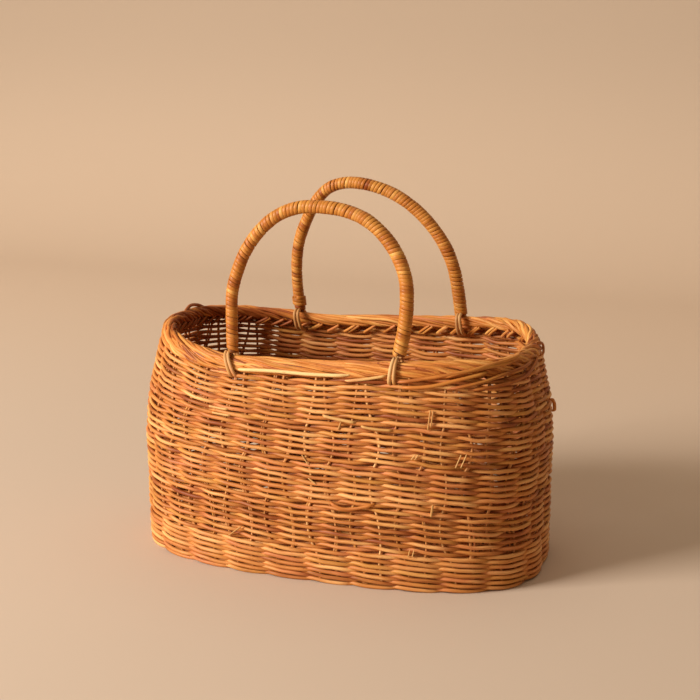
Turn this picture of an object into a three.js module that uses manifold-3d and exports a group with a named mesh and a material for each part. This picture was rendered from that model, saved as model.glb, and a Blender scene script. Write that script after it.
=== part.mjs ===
// A wicker basket bag: an oval twined body with a rolled border and two bound cane handles.
// Millimetres, +Z up, +X to the right along the long side, +Y to the back.
// The origin is the middle of the body's foot, on the surface that it stands on.

import * as THREE from 'three';
import { mergeVertices } from 'three/addons/utils/BufferGeometryUtils.js';
import Module from 'manifold-3d';

// Driving dimensions of the woven body
const BODY_LENGTH = 330;
const BODY_DEPTH = 204;
const BODY_HEIGHT = 175;
const WALL_THICKNESS = 8;
const BASE_THICKNESS = 8;
const FOOT_ROUNDING = 7;

// Driving dimensions of the border round the mouth
const BORDER_HEIGHT = 14;
const BORDER_WIDTH = 11;
const INNER_ROW_HEIGHT = 10;
const INNER_ROW_WIDTH = 3.6;
const INNER_ROW_BEVEL = 1.5;
const BORDER_SQUARENESS = 2.4;

// Driving dimensions of the handles and of the rods that tie them down
const HANDLE_DIAMETER = 10.5;
const HANDLE_RISE = 107;
const HANDLE_LEAN = THREE.MathUtils.degToRad(6);
const FRONT_SPAN = 138;
const BACK_SPAN = 146;
const BULGE_DIAMETER = 13.5;
const BULGE_LENGTH = 10;
const BULGE_START = 2;
const BULGE_TAPER = 1.5;
const ROD_DIAMETER = 2.8;
const ROD_SPACING = 4.6;
const LOOP_SQUARENESS = 2.6;
const LOOP_START = THREE.MathUtils.degToRad(18);

// Clearances between neighbours
const CLEARANCE = 0.3;
const ROD_CLEARANCE = 0.6;
const NOTCH_CLEARANCE = 1;

// How finely the curved forms are faceted
const WALL_SIDES = 80;
const BORDER_SIDES = 96;
const PROFILE_SIDES = 10;
const HANDLE_SIDES = 12;
const HANDLE_STEPS = 44;
const ROD_SIDES = 6;
const ROD_STEPS = 20;
const FOOT_STEPS = 3;

// The body's plan at a few heights. Height is a share of BODY_HEIGHT, length and depth are shares of
// BODY_LENGTH and BODY_DEPTH, and squareness is the exponent of the plan's superellipse.
const BODY_SECTIONS = [
  { height: 0.0, length: 1.0, depth: 0.98, squareness: 2.75 },
  { height: 0.15, length: 0.998, depth: 1.0, squareness: 2.8 },
  { height: 0.4, length: 0.996, depth: 0.977, squareness: 2.9 },
  { height: 0.65, length: 0.994, depth: 0.955, squareness: 3.05 },
  { height: 0.85, length: 0.95, depth: 0.915, squareness: 3.15 },
  { height: 1.0, length: 0.916, depth: 0.84, squareness: 3.25 },
];

// The arches' centre lines, from the left foot to the right foot. Across is a share of half the span and
// up is a share of HANDLE_RISE. The front arch is even, and the back one has a high left shoulder.
const FRONT_ARCH = [
  { across: -0.98, up: 0.0 },
  { across: -0.995, up: 0.16 },
  { across: -0.998, up: 0.36 },
  { across: -0.936, up: 0.52 },
  { across: -0.839, up: 0.667 },
  { across: -0.675, up: 0.815 },
  { across: -0.475, up: 0.925 },
  { across: -0.23, up: 0.988 },
  { across: 0.03, up: 1.0 },
  { across: 0.3, up: 0.983 },
  { across: 0.55, up: 0.925 },
  { across: 0.755, up: 0.82 },
  { across: 0.905, up: 0.69 },
  { across: 1.0, up: 0.535 },
  { across: 1.025, up: 0.37 },
  { across: 1.01, up: 0.19 },
  { across: 0.965, up: 0.0 },
];
const BACK_ARCH = [
  { across: -0.993, up: 0.0 },
  { across: -1.01, up: 0.19 },
  { across: -1.003, up: 0.36 },
  { across: -0.96, up: 0.525 },
  { across: -0.864, up: 0.692 },
  { across: -0.735, up: 0.85 },
  { across: -0.58, up: 0.955 },
  { across: -0.39, up: 1.0 },
  { across: -0.18, up: 1.0 },
  { across: 0.04, up: 0.968 },
  { across: 0.24, up: 0.912 },
  { across: 0.45, up: 0.815 },
  { across: 0.634, up: 0.69 },
  { across: 0.79, up: 0.535 },
  { across: 0.885, up: 0.375 },
  { across: 0.935, up: 0.2 },
  { across: 0.97, up: 0.0 },
];

// The four feet. Side is -1 at the front and 1 at the back, and drift is how far the tie rods slant to the
// right on their way down, as a share of BORDER_HEIGHT.
const FEET = [
  { name: 'front_left', side: -1, arch: FRONT_ARCH, span: FRONT_SPAN, end: 0, drift: 0.35 },
  { name: 'front_right', side: -1, arch: FRONT_ARCH, span: FRONT_SPAN, end: FRONT_ARCH.length - 1, drift: -0.2 },
  { name: 'back_left', side: 1, arch: BACK_ARCH, span: BACK_SPAN, end: 0, drift: 0.1 },
  { name: 'back_right', side: 1, arch: BACK_ARCH, span: BACK_SPAN, end: BACK_ARCH.length - 1, drift: 0.1 },
];

// Places that follow from the sizes
const BORDER_TOP = BODY_HEIGHT;
const BORDER_BOTTOM = BORDER_TOP - BORDER_HEIGHT;
const BORDER_MIDDLE = BORDER_TOP - BORDER_HEIGHT / 2;
const WALL_BOTTOM = BASE_THICKNESS + CLEARANCE;
const WALL_TOP = BORDER_BOTTOM - CLEARANCE;
const RIM_WIDTH = BORDER_WIDTH + CLEARANCE + INNER_ROW_WIDTH;
const LOOP_HALF_WIDTH = RIM_WIDTH / 2 + ROD_CLEARANCE + ROD_DIAMETER / 2;
const LOOP_HALF_HEIGHT = BORDER_HEIGHT / 2 + ROD_CLEARANCE + ROD_DIAMETER / 2;
const HANDLE_FOOT = BORDER_MIDDLE + LOOP_HALF_HEIGHT + ROD_DIAMETER / 2 + ROD_CLEARANCE;
const NOTCH_DEPTH = ROD_DIAMETER + ROD_CLEARANCE + NOTCH_CLEARANCE;
const NOTCH_WIDTH = ROD_SPACING + ROD_DIAMETER + 2 * NOTCH_CLEARANCE;
const NOTCH_REACH = 4 * WALL_THICKNESS;

const CANE = { color: 0xc98a45, roughness: 0.55, metalness: 0 };
const SHADED_CANE = { color: 0xa9662c, roughness: 0.6, metalness: 0 };
const BOUND_CANE = { color: 0xd0893c, roughness: 0.4, metalness: 0 };
const PALE_CANE = { color: 0xdcae74, roughness: 0.5, metalness: 0 };

// Smooth value of one column of the body's sections at a height, by cubic interpolation between the rows.
function sectionValue(column, height) {
  const share = THREE.MathUtils.clamp(height / BODY_HEIGHT, 0, 1);
  const last = BODY_SECTIONS.length - 1;
  let i = 0;
  while (i < last - 1 && BODY_SECTIONS[i + 1].height < share) i += 1;
  const slope = (k) => {
    const before = BODY_SECTIONS[Math.max(k - 1, 0)];
    const after = BODY_SECTIONS[Math.min(k + 1, last)];
    return (after[column] - before[column]) / (after.height - before.height);
  };
  const [low, high] = [BODY_SECTIONS[i], BODY_SECTIONS[i + 1]];
  const step = high.height - low.height;
  const t = (share - low.height) / step;
  const rise = t * t * (3 - 2 * t);
  const leave = t * (1 - t) * (1 - t) * step * slope(i);
  const arrive = t * t * (t - 1) * step * slope(i + 1);
  return low[column] + (high[column] - low[column]) * rise + leave + arrive;
}

// The plan's half length, half depth and squareness at a height, drawn in by an inset.
function plan(height, inset) {
  return {
    halfLength: (BODY_LENGTH / 2) * sectionValue('length', height) - inset,
    halfDepth: (BODY_DEPTH / 2) * sectionValue('depth', height) - inset,
    squareness: sectionValue('squareness', height),
  };
}

// One closed ring of points round the body.
function planRing(height, inset, sides) {
  const { halfLength, halfDepth, squareness } = plan(height, inset);
  return Array.from({ length: sides }, (_, i) => {
    const [along, across] = superellipse((2 * Math.PI * i) / sides, squareness);
    return new THREE.Vector3(halfLength * along, halfDepth * across, height);
  });
}

// Distance of the plan's edge from the long middle line, at a place along it.
function planDepthAt(x, height, inset) {
  const { halfLength, halfDepth, squareness } = plan(height, inset);
  return halfDepth * (1 - Math.abs(x / halfLength) ** squareness) ** (1 / squareness);
}

// A closed surface over rings with the same number of points. It closes on its first ring, or ends in a fan
// round the middle of the first and the last ring.
function loft(rings, closesOnItself) {
  const sides = rings[0].length;
  const points = rings.flat();
  const triangles = [];
  const bands = closesOnItself ? rings.length : rings.length - 1;
  for (let ring = 0; ring < bands; ring += 1) {
    const next = (ring + 1) % rings.length;
    for (let i = 0; i < sides; i += 1) {
      const j = (i + 1) % sides;
      const [a, b] = [ring * sides + i, ring * sides + j];
      const [c, d] = [next * sides + i, next * sides + j];
      triangles.push(a, b, d, a, d, c);
    }
  }
  if (!closesOnItself) {
    for (const ring of [0, rings.length - 1]) {
      const middle = rings[ring].reduce((sum, point) => sum.add(point), new THREE.Vector3());
      points.push(middle.divideScalar(sides));
      const centre = points.length - 1;
      for (let i = 0; i < sides; i += 1) {
        const [a, b] = [ring * sides + i, ring * sides + ((i + 1) % sides)];
        triangles.push(...(ring === 0 ? [centre, b, a] : [centre, a, b]));
      }
    }
  }
  const geometry = new THREE.BufferGeometry();
  geometry.setAttribute('position', new THREE.Float32BufferAttribute(points.flatMap((p) => p.toArray()), 3));
  geometry.setIndex(triangles);
  return geometry;
}

// A ring of material round the body: its profile is a loop of insets and heights, outside rising first.
function bodyRing(profile, sides) {
  return loft(profile.map(({ inset, height }) => planRing(height, inset, sides)), true);
}

// A point of a superellipse with half axes of 1. It is a circle at a squareness of 2, and boxier above that.
function superellipse(angle, squareness) {
  const [c, s] = [Math.cos(angle), Math.sin(angle)];
  const reach = (Math.abs(c) ** squareness + Math.abs(s) ** squareness) ** (-1 / squareness);
  return [c * reach, s * reach];
}

// The booleans of closed meshes
const wasm = await Module();
wasm.setup();

function toSolid(geometry) {
  const bare = geometry.clone();
  bare.deleteAttribute('normal');
  bare.deleteAttribute('uv');
  const merged = mergeVertices(bare);
  const mesh = new wasm.Mesh({
    numProp: 3,
    vertProperties: new Float32Array(merged.attributes.position.array),
    triVerts: new Uint32Array(merged.index.array),
  });
  return new wasm.Manifold(mesh);
}

function toGeometry(solid) {
  const mesh = solid.getMesh();
  const geometry = new THREE.BufferGeometry();
  geometry.setAttribute('position', new THREE.BufferAttribute(new Float32Array(mesh.vertProperties), 3));
  geometry.setIndex(new THREE.BufferAttribute(new Uint32Array(mesh.triVerts), 1));
  return geometry;
}

// Where a foot stands on the border: the middle of the rim, under the end of its arch.
function footPlace(foot) {
  const x = foot.arch[foot.end].across * (foot.span / 2);
  return { x, y: foot.side * planDepthAt(x, BORDER_MIDDLE, RIM_WIDTH / 2) };
}

// The wall, with a notch in its top edge at each foot where the tie rods cross under the border.
function wallGeometry() {
  const heights = [WALL_BOTTOM];
  for (const { height } of BODY_SECTIONS) {
    const z = height * BODY_HEIGHT;
    if (z > WALL_BOTTOM + BASE_THICKNESS && z < WALL_TOP - NOTCH_DEPTH) heights.push(z);
  }
  heights.push(WALL_TOP - NOTCH_DEPTH);
  heights.push(WALL_TOP);
  const between = [];
  heights.forEach((z, i) => {
    if (i > 0 && i < heights.length - 2) between.push((heights[i - 1] + z) / 2);
    between.push(z);
  });
  const outside = between.map((height) => ({ inset: 0, height }));
  const inside = [...between].reverse().map((height) => ({ inset: WALL_THICKNESS, height }));
  let solid = toSolid(bodyRing([...outside, ...inside], WALL_SIDES));
  for (const foot of FEET) {
    const { x, y } = footPlace(foot);
    const notch = new THREE.BoxGeometry(NOTCH_WIDTH, NOTCH_REACH, 2 * NOTCH_DEPTH);
    notch.translate(x + foot.drift * BORDER_HEIGHT, y, WALL_TOP);
    solid = solid.subtract(toSolid(notch));
  }
  return toGeometry(solid);
}

// The base, whose edge carries the body's rounded foot and whose underside is flat.
function baseGeometry() {
  const rings = [];
  for (let i = 0; i <= FOOT_STEPS; i += 1) {
    const turn = (Math.PI / 2) * (i / FOOT_STEPS);
    const inset = FOOT_ROUNDING * (1 - Math.sin(turn));
    const height = FOOT_ROUNDING * (1 - Math.cos(turn));
    rings.push(planRing(height, inset, WALL_SIDES));
  }
  rings.push(planRing(BASE_THICKNESS, 0, WALL_SIDES));
  return loft(rings, false);
}

// The border's roll, an upright oval in section.
function borderGeometry() {
  const profile = Array.from({ length: PROFILE_SIDES }, (_, i) => {
    const angle = -Math.PI / 2 + (2 * Math.PI * i) / PROFILE_SIDES;
    const [outward, up] = superellipse(angle, BORDER_SQUARENESS);
    const inset = (BORDER_WIDTH / 2) * (1 - outward);
    return { inset, height: BORDER_MIDDLE + (BORDER_HEIGHT / 2) * up };
  });
  return bodyRing(profile, BORDER_SIDES);
}

// The row of tucked stake ends, a low band with bevelled edges.
function innerRowGeometry() {
  const bottom = BORDER_MIDDLE - INNER_ROW_HEIGHT / 2;
  const top = bottom + INNER_ROW_HEIGHT;
  const profile = [
    { inset: BORDER_WIDTH + CLEARANCE, height: bottom },
    { inset: BORDER_WIDTH + CLEARANCE, height: top },
    { inset: RIM_WIDTH, height: top - INNER_ROW_BEVEL },
    { inset: RIM_WIDTH, height: bottom + INNER_ROW_BEVEL },
  ];
  return bodyRing(profile, BORDER_SIDES);
}

// The centre line of an arch, leaning in over the mouth.
function archCurve(arch, span, side) {
  const points = arch.map(({ across, up }) => {
    const x = across * (span / 2);
    const rise = up * HANDLE_RISE;
    const foot = planDepthAt(x, BORDER_MIDDLE, RIM_WIDTH / 2);
    const y = side * (foot - rise * Math.sin(HANDLE_LEAN));
    return new THREE.Vector3(x, y, HANDLE_FOOT + rise * Math.cos(HANDLE_LEAN));
  });
  return new THREE.CatmullRomCurve3(points);
}

// Distances along an arch where its thickness is set: even steps, with the ends of a bulge above the left foot.
function archStations(length, hasBulge) {
  const bulgeEnd = BULGE_START + BULGE_LENGTH;
  const stations = [];
  if (hasBulge) {
    stations.push({ along: BULGE_START, diameter: HANDLE_DIAMETER });
    stations.push({ along: BULGE_START + BULGE_TAPER, diameter: BULGE_DIAMETER });
    stations.push({ along: bulgeEnd - BULGE_TAPER, diameter: BULGE_DIAMETER });
    stations.push({ along: bulgeEnd, diameter: HANDLE_DIAMETER });
  }
  for (let i = 0; i <= HANDLE_STEPS; i += 1) {
    const along = (length * i) / HANDLE_STEPS;
    const nearBulge = hasBulge && along > 0 && along < bulgeEnd + BULGE_TAPER;
    if (!nearBulge) stations.push({ along, diameter: HANDLE_DIAMETER });
  }
  return stations.sort((a, b) => a.along - b.along);
}

// A bound arch, round in section.
function handleGeometry(arch, span, side, hasBulge) {
  const curve = archCurve(arch, span, side);
  const length = curve.getLength();
  const flat = new THREE.Vector3(0, Math.cos(HANDLE_LEAN), side * Math.sin(HANDLE_LEAN));
  const rings = archStations(length, hasBulge).map(({ along, diameter }) => {
    const centre = curve.getPointAt(along / length);
    const outward = new THREE.Vector3().crossVectors(curve.getTangentAt(along / length), flat).normalize();
    return Array.from({ length: HANDLE_SIDES }, (_, k) => {
      const angle = (2 * Math.PI * k) / HANDLE_SIDES;
      const point = centre.clone().addScaledVector(flat, (diameter / 2) * Math.cos(angle));
      return point.addScaledVector(outward, (diameter / 2) * Math.sin(angle));
    });
  });
  return loft(rings, false);
}

// A tie rod: it leaves the handle's foot, passes outside the border, crosses through the wall under it and
// comes up inside, with both ends just under the foot.
function tieGeometry(foot, offset) {
  const start = Math.PI / 2 - LOOP_START;
  const points = [];
  for (let i = 0; i <= ROD_STEPS; i += 1) {
    const angle = start - (2 * Math.PI - 2 * LOOP_START) * (i / ROD_STEPS);
    const [outward, up] = superellipse(angle, LOOP_SQUARENESS);
    const x = footPlace(foot).x + offset + (foot.drift * BORDER_HEIGHT * (1 - up)) / 2;
    const z = BORDER_MIDDLE + LOOP_HALF_HEIGHT * up;
    const y = foot.side * planDepthAt(x, z, RIM_WIDTH / 2 - LOOP_HALF_WIDTH * outward);
    points.push(new THREE.Vector3(x, y, z));
  }
  const corners = Array.from({ length: ROD_SIDES }, (_, k) => {
    const angle = (2 * Math.PI * k) / ROD_SIDES;
    return new THREE.Vector2(Math.cos(angle), Math.sin(angle)).multiplyScalar(ROD_DIAMETER / 2);
  });
  return new THREE.ExtrudeGeometry(new THREE.Shape(corners), {
    steps: ROD_STEPS,
    bevelEnabled: false,
    extrudePath: new THREE.CatmullRomCurve3(points),
  });
}

function addPiece(group, name, geometry, look) {
  const mesh = new THREE.Mesh(geometry, new THREE.MeshStandardMaterial(look));
  mesh.name = name;
  group.add(mesh);
}

const basket = new THREE.Group();
addPiece(basket, 'wall', wallGeometry(), CANE);
addPiece(basket, 'base', baseGeometry(), SHADED_CANE);
addPiece(basket, 'border_roll', borderGeometry(), CANE);
addPiece(basket, 'inner_row', innerRowGeometry(), SHADED_CANE);
addPiece(basket, 'handle_front', handleGeometry(FRONT_ARCH, FRONT_SPAN, -1, false), BOUND_CANE);
addPiece(basket, 'handle_back', handleGeometry(BACK_ARCH, BACK_SPAN, 1, true), BOUND_CANE);
for (const foot of FEET) {
  addPiece(basket, `tie_${foot.name}_1`, tieGeometry(foot, -ROD_SPACING / 2), PALE_CANE);
  addPiece(basket, `tie_${foot.name}_2`, tieGeometry(foot, ROD_SPACING / 2), PALE_CANE);
}

export default basket;
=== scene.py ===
"""A wicker basket bag: twined cane body, rolled border and two handles bound with flat cane.

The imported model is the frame. The rods follow its solids, and wander up to 10 mm from them where the
hand-made rim, foot and handle feet are uneven. Metres, +Z up, +X along the basket's long side and +Y to its
back, from the middle of its foot.
"""

from __future__ import annotations

import logging
from dataclasses import dataclass, field
from enum import Enum
from functools import cached_property

import bpy
import numpy as np
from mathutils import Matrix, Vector

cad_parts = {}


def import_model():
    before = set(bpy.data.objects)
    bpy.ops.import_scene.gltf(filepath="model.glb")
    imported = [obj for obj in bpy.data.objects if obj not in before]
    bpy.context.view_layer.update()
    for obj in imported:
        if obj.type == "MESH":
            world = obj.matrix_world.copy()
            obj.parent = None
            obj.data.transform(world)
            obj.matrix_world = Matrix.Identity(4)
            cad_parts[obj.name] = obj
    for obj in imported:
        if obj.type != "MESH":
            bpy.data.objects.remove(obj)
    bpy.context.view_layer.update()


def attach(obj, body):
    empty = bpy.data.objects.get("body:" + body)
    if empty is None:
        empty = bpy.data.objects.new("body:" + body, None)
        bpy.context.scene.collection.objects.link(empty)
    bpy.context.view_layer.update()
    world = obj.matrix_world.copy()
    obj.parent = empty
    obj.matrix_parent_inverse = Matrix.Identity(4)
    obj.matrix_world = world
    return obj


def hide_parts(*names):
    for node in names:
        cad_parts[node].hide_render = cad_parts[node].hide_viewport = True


LOG = logging.getLogger("basket")
BODY = "root"
SEED = 41
ROW_LOOPS = 2
TAU = 2 * np.pi
UP = (0.0, 0.0, 1.0)
ROUND_SIDES = 7
THIN_SIDES = 6
Array = np.ndarray
Colour = tuple[float, float, float]


class Slot(Enum):
    """The record's material slots."""

    WEAVE = "cane_weave"
    BORDER = "cane_border"
    BINDING = "cane_binding"
    ROD = "cane_rod"


@dataclass(frozen=True)
class Section:
    """The body's plan at one height, as shares of its overall sizes."""

    height: float
    length: float
    depth: float
    squareness: float


@dataclass(frozen=True)
class ArchPoint:
    """A place on a handle's arch: a share of half its span, and a share of its rise."""

    across: float
    up: float


@dataclass(frozen=True)
class Band:
    """A band of twined rows between two places where the stakes change partners."""

    name: str
    rows: int
    pitch: float
    lean: float
    gather: float


@dataclass(frozen=True)
class LooseStrand:
    """A single rod that lies on the wall or stands off it, by its places in loops and heights."""

    places: tuple[tuple[float, float], ...]
    radius: float = 0.0014
    tone: float = 0.5
    out: float = 0.0008


@dataclass(frozen=True)
class RimPlace:
    """How far the hand-made rim rises above its even height and draws in, at a place in loops."""

    turn: float
    rise: float
    draw: float = 0.0


BODY_SECTIONS = (
    Section(height=0.0, length=1.0, depth=0.98, squareness=2.75),
    Section(height=0.15, length=0.998, depth=1.0, squareness=2.8),
    Section(height=0.4, length=0.996, depth=0.977, squareness=2.9),
    Section(height=0.65, length=0.994, depth=0.955, squareness=3.05),
    Section(height=0.85, length=0.95, depth=0.915, squareness=3.15),
    Section(height=1.0, length=0.916, depth=0.84, squareness=3.25),
)

FRONT_ARCH = (
    ArchPoint(across=-0.975, up=-0.075),
    ArchPoint(across=-0.995, up=0.16),
    ArchPoint(across=-0.998, up=0.36),
    ArchPoint(across=-0.936, up=0.52),
    ArchPoint(across=-0.839, up=0.667),
    ArchPoint(across=-0.675, up=0.815),
    ArchPoint(across=-0.475, up=0.925),
    ArchPoint(across=-0.23, up=0.988),
    ArchPoint(across=0.03, up=1.0),
    ArchPoint(across=0.3, up=0.983),
    ArchPoint(across=0.55, up=0.925),
    ArchPoint(across=0.755, up=0.82),
    ArchPoint(across=0.905, up=0.69),
    ArchPoint(across=1.0, up=0.535),
    ArchPoint(across=1.025, up=0.37),
    ArchPoint(across=1.01, up=0.19),
    ArchPoint(across=0.965, up=0.0),
)

BACK_ARCH = (
    ArchPoint(across=-0.99, up=-0.055),
    ArchPoint(across=-1.01, up=0.19),
    ArchPoint(across=-1.003, up=0.36),
    ArchPoint(across=-0.96, up=0.525),
    ArchPoint(across=-0.864, up=0.692),
    ArchPoint(across=-0.735, up=0.85),
    ArchPoint(across=-0.58, up=0.955),
    ArchPoint(across=-0.39, up=1.0),
    ArchPoint(across=-0.18, up=1.0),
    ArchPoint(across=0.04, up=0.968),
    ArchPoint(across=0.24, up=0.912),
    ArchPoint(across=0.45, up=0.815),
    ArchPoint(across=0.634, up=0.69),
    ArchPoint(across=0.79, up=0.535),
    ArchPoint(across=0.885, up=0.375),
    ArchPoint(across=0.935, up=0.2),
    ArchPoint(across=0.97, up=0.0),
)

BANDS = (
    Band(name="weave_band_1", rows=7, pitch=0.00415, lean=0.0, gather=0.07),
    Band(name="weave_band_2", rows=7, pitch=0.00495, lean=-0.162, gather=0.085),
    Band(name="weave_band_3", rows=7, pitch=0.00470, lean=-0.256, gather=0.09),
    Band(name="weave_band_4", rows=6, pitch=0.00500, lean=-0.243, gather=0.09),
    Band(name="weave_band_5", rows=8, pitch=0.00450, lean=-0.276, gather=0.15),
)

RIM_PLACES = (
    RimPlace(turn=0.0, rise=-0.0038),
    RimPlace(turn=0.05, rise=-0.0018),
    RimPlace(turn=0.1, rise=0.0006),
    RimPlace(turn=0.14, rise=0.0022),
    RimPlace(turn=0.2, rise=0.0),
    RimPlace(turn=0.27, rise=0.0),
    RimPlace(turn=0.3, rise=0.0012),
    RimPlace(turn=0.335, rise=0.006),
    RimPlace(turn=0.38, rise=0.005),
    RimPlace(turn=0.44, rise=0.001),
    RimPlace(turn=0.5, rise=-0.0016),
    RimPlace(turn=0.56, rise=-0.0042),
    RimPlace(turn=0.62, rise=-0.0008),
    RimPlace(turn=0.7, rise=0.005, draw=0.0008),
    RimPlace(turn=0.74, rise=0.0076, draw=0.0035),
    RimPlace(turn=0.77, rise=0.0098, draw=0.0042),
    RimPlace(turn=0.8, rise=0.0092, draw=0.0038),
    RimPlace(turn=0.84, rise=0.004, draw=0.0012),
    RimPlace(turn=0.87, rise=-0.001),
    RimPlace(turn=0.905, rise=-0.0052),
    RimPlace(turn=0.95, rise=-0.0044),
)

PALE_STRANDS = (
    LooseStrand(
        places=((-0.0735, 0.165), (-0.033, 0.166), (0.0015, 0.1655), (0.0395, 0.1655)),
        tone=0.9,
    ),
    LooseStrand(places=((0.035, 0.1615), (0.0545, 0.1635), (0.0735, 0.166)), radius=0.0011, tone=0.6),
    LooseStrand(places=((0.0155, 0.1345), (0.029, 0.1325), (0.046, 0.1305)), radius=0.0012, tone=0.45),
    LooseStrand(places=((0.05, 0.128), (0.062, 0.1265), (0.078, 0.126)), radius=0.001, tone=0.35),
    LooseStrand(places=((-0.094, 0.1335), (-0.084, 0.133), (-0.0735, 0.1325)), radius=0.001, out=0.0003),
    LooseStrand(places=((-0.09, 0.1285), (-0.08, 0.128), (-0.0705, 0.1275)), radius=0.0009, out=0.0003),
)

BENT_STRANDS = (
    LooseStrand(
        places=((0.0805, 0.161), (0.1025, 0.1635), (0.128, 0.166), (0.1645, 0.171), (0.205, 0.1745)),
        tone=0.3,
    ),
    LooseStrand(places=((0.126, 0.1555), (0.154, 0.160), (0.1865, 0.166), (0.2375, 0.1675)), tone=0.2),
    LooseStrand(places=((0.1195, 0.1635), (0.1455, 0.1685), (0.1755, 0.174), (0.21, 0.177)), tone=0.35),
    LooseStrand(places=((0.085, 0.1575), (0.111, 0.1585), (0.1365, 0.1625), (0.165, 0.1675)), tone=0.4),
    LooseStrand(places=((0.1445, 0.1545), (0.173, 0.1575), (0.2225, 0.1615), (0.262, 0.1665)), tone=0.15),
    LooseStrand(places=((0.0235, 0.066), (0.038, 0.0625), (0.063, 0.068)), radius=0.0013, tone=0.35),
    LooseStrand(
        places=((0.698, 0.173), (0.713, 0.1765), (0.733, 0.1775), (0.752, 0.173)),
        tone=0.1,
        out=-0.004,
    ),
    LooseStrand(
        places=((0.262, 0.1765), (0.276, 0.1735), (0.279, 0.1695), (0.27, 0.1645)),
        radius=0.001,
        tone=0.2,
        out=0.0022,
    ),
    LooseStrand(places=((0.266, 0.131), (0.2705, 0.1265), (0.267, 0.121)), tone=0.4, out=0.0032),
)

CUT_STUBS = (
    LooseStrand(places=((0.0925, 0.1045), (0.096, 0.1085)), radius=0.0005, tone=0.5, out=0.0003),
    LooseStrand(places=((0.0955, 0.1045), (0.0985, 0.1085)), radius=0.0005, tone=0.4, out=0.0003),
    LooseStrand(places=((0.129, 0.099), (0.1335, 0.109)), radius=0.0004, tone=0.7, out=0.0003),
    LooseStrand(places=((0.1335, 0.099), (0.138, 0.109)), radius=0.0004, tone=0.7, out=0.0003),
    LooseStrand(places=((0.112, 0.0705), (0.111, 0.061)), radius=0.001, tone=0.1, out=0.0003),
    LooseStrand(places=((0.0925, 0.0295), (0.094, 0.035)), radius=0.0005, tone=0.4, out=0.0003),
    LooseStrand(places=((0.096, 0.0295), (0.0975, 0.035)), radius=0.0005, tone=0.4, out=0.0003),
    LooseStrand(places=((0.1105, 0.1415), (0.107, 0.127)), radius=0.0007, tone=0.1, out=0.0001),
    LooseStrand(places=((0.1128, 0.141), (0.1096, 0.129)), radius=0.0006, tone=0.2, out=0.0001),
    LooseStrand(places=((0.0325, 0.1305), (0.03, 0.124)), radius=0.0008, tone=0.05, out=0.0002),
    LooseStrand(places=((0.0035, 0.0835), (0.0105, 0.0795)), radius=0.0005, tone=0.5, out=0.0003),
    LooseStrand(places=((-0.0025, 0.1015), (0.0035, 0.094)), radius=0.0005, tone=0.4, out=0.0003),
    LooseStrand(places=((-0.0715, 0.0295), (-0.0585, 0.039)), radius=0.0007, tone=0.1, out=0.0003),
)


def unit(vectors: Array) -> Array:
    """Scales vectors, one to a row, to a length of one."""
    return vectors / np.linalg.norm(vectors, axis=-1, keepdims=True)


def ease(share: Array) -> Array:
    """Bends a share of 0 to 1 into a smooth rise with level ends."""
    return share * share * (3 - 2 * share)


def window(place: Array, start: float, end: float, blur: float) -> Array:
    """Gives 1 between two places and 0 outside of them, with soft edges."""
    return (np.tanh((place - start) / blur) - np.tanh((place - end) / blur)) / 2


def measure(line: Array) -> Array:
    """Gives the way along a line at each of its points."""
    return np.concatenate([[0.0], np.cumsum(np.linalg.norm(np.diff(line, axis=0), axis=1))])


def read_line(places: Array, way: Array, line: Array) -> Array:
    """Reads the points of a line at some ways along it."""
    return np.stack([np.interp(places, way, line[:, k]) for k in range(3)], axis=1)


def show(name: str, data: bpy.types.ID) -> bpy.types.Object:
    """Puts a mesh, light or camera in the scene.

    Args:
        name: The object's name.
        data: The mesh, light or camera.

    Returns:
        The new object.
    """
    thing = bpy.data.objects.new(name, data)
    bpy.context.scene.collection.objects.link(thing)
    return thing


def superellipse(angle: Array, squareness: Array | float) -> tuple[Array, Array]:
    """Gives a point of a superellipse with half axes of one.

    Args:
        angle: Angles in radians.
        squareness: The exponent, 2 for a circle and more for a boxier form.

    Returns:
        The two coordinates.
    """
    c, s = np.cos(angle), np.sin(angle)
    reach = (np.abs(c) ** squareness + np.abs(s) ** squareness) ** (-1 / squareness)
    return c * reach, s * reach


def outline(sides: int, squareness: float = 2.0, half_width: float = 1.0, half_height: float = 1.0) -> Array:
    """Gives the outline of a rod's section.

    Args:
        sides: How many corners it has.
        squareness: The exponent of its superellipse.
        half_width: Half its width.
        half_height: Half its height.

    Returns:
        The corners, two numbers each.
    """
    across, up = superellipse(TAU * np.arange(sides) / sides, squareness)
    return np.stack([across * half_width, up * half_height], axis=1)


def wander(rng: np.random.Generator, turns: Array, waves: int, loops: float = 1.0) -> Array:
    """Gives a smooth random line that meets its own start after some loops.

    Args:
        rng: The source of the random waves.
        turns: Places, in loops.
        waves: How many waves there are at most in one loop.
        loops: After how many loops the line closes.

    Returns:
        Values of about -1 to 1.
    """
    total = np.zeros_like(turns)
    count = int(waves * loops)
    for k in range(1, count + 1):
        phase, weight = rng.uniform(0, TAU), rng.normal()
        total += weight * np.sin(TAU * k * turns / loops + phase)
    return total / np.sqrt(count)


def cubic(t: Array, step: Array, i: Array, values: Array, slopes: Array) -> Array:
    """Reads a cubic curve between two of its knots.

    Args:
        t: The share of the way from the first knot to the second.
        step: The distance between the knots.
        i: The first knot's number.
        values: The values at all knots.
        slopes: The slopes at all knots.

    Returns:
        The curve's values.
    """
    value = values[i] + (values[i + 1] - values[i]) * ease(t)
    return value + t * (1 - t) ** 2 * step * slopes[i] + t * t * (t - 1) * step * slopes[i + 1]


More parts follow.
